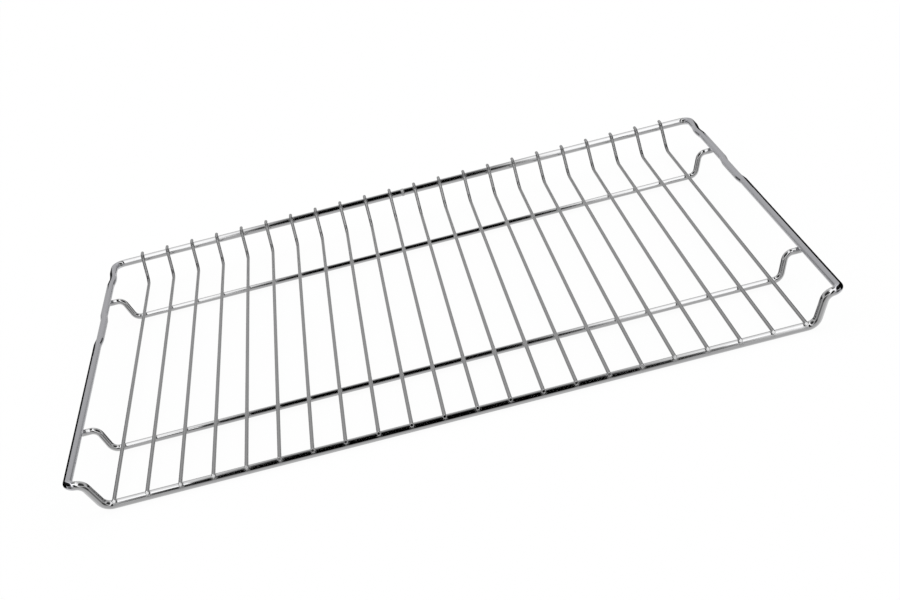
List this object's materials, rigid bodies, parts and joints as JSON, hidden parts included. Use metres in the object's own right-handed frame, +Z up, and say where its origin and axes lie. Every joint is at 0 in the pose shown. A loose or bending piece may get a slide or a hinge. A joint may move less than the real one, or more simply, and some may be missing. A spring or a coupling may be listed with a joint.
{
  "type": "oven rack",
  "caption": "Chromed wire oven rack: high side rails with stops, S-bent front corners, low cross stringers and fine grid wires that curl over the rear bar.",
  "frame": {"origin": "middle of the rack's outline, on the surface that the rack stands on", "axes": "+X to the right, across the oven; +Y from the low front bar to the rear bar, into the oven; +Z up"},
  "size_m": [0.4548, 0.3759, 0.0274],
  "materials": {
    "chrome": "bright chrome plating on drawn steel wire"
  },
  "bodies": {
    "root": {"perimeter_frame": "chrome", "front_stringer": "chrome", "rear_stringer": "chrome", "grid_wire_01": "chrome", "grid_wire_02": "chrome", "grid_wire_03": "chrome", "grid_wire_04": "chrome", "grid_wire_05": "chrome", "grid_wire_06": "chrome", "grid_wire_07": "chrome", "grid_wire_08": "chrome", "grid_wire_09": "chrome", "grid_wire_10": "chrome", "grid_wire_11": "chrome", "grid_wire_12": "chrome", "grid_wire_13": "chrome", "grid_wire_14": "chrome", "grid_wire_15": "chrome", "grid_wire_16": "chrome", "grid_wire_17": "chrome", "grid_wire_18": "chrome", "grid_wire_19": "chrome", "grid_wire_20": "chrome", "grid_wire_21": "chrome", "grid_wire_22": "chrome"}
  },
  "joints": []
}
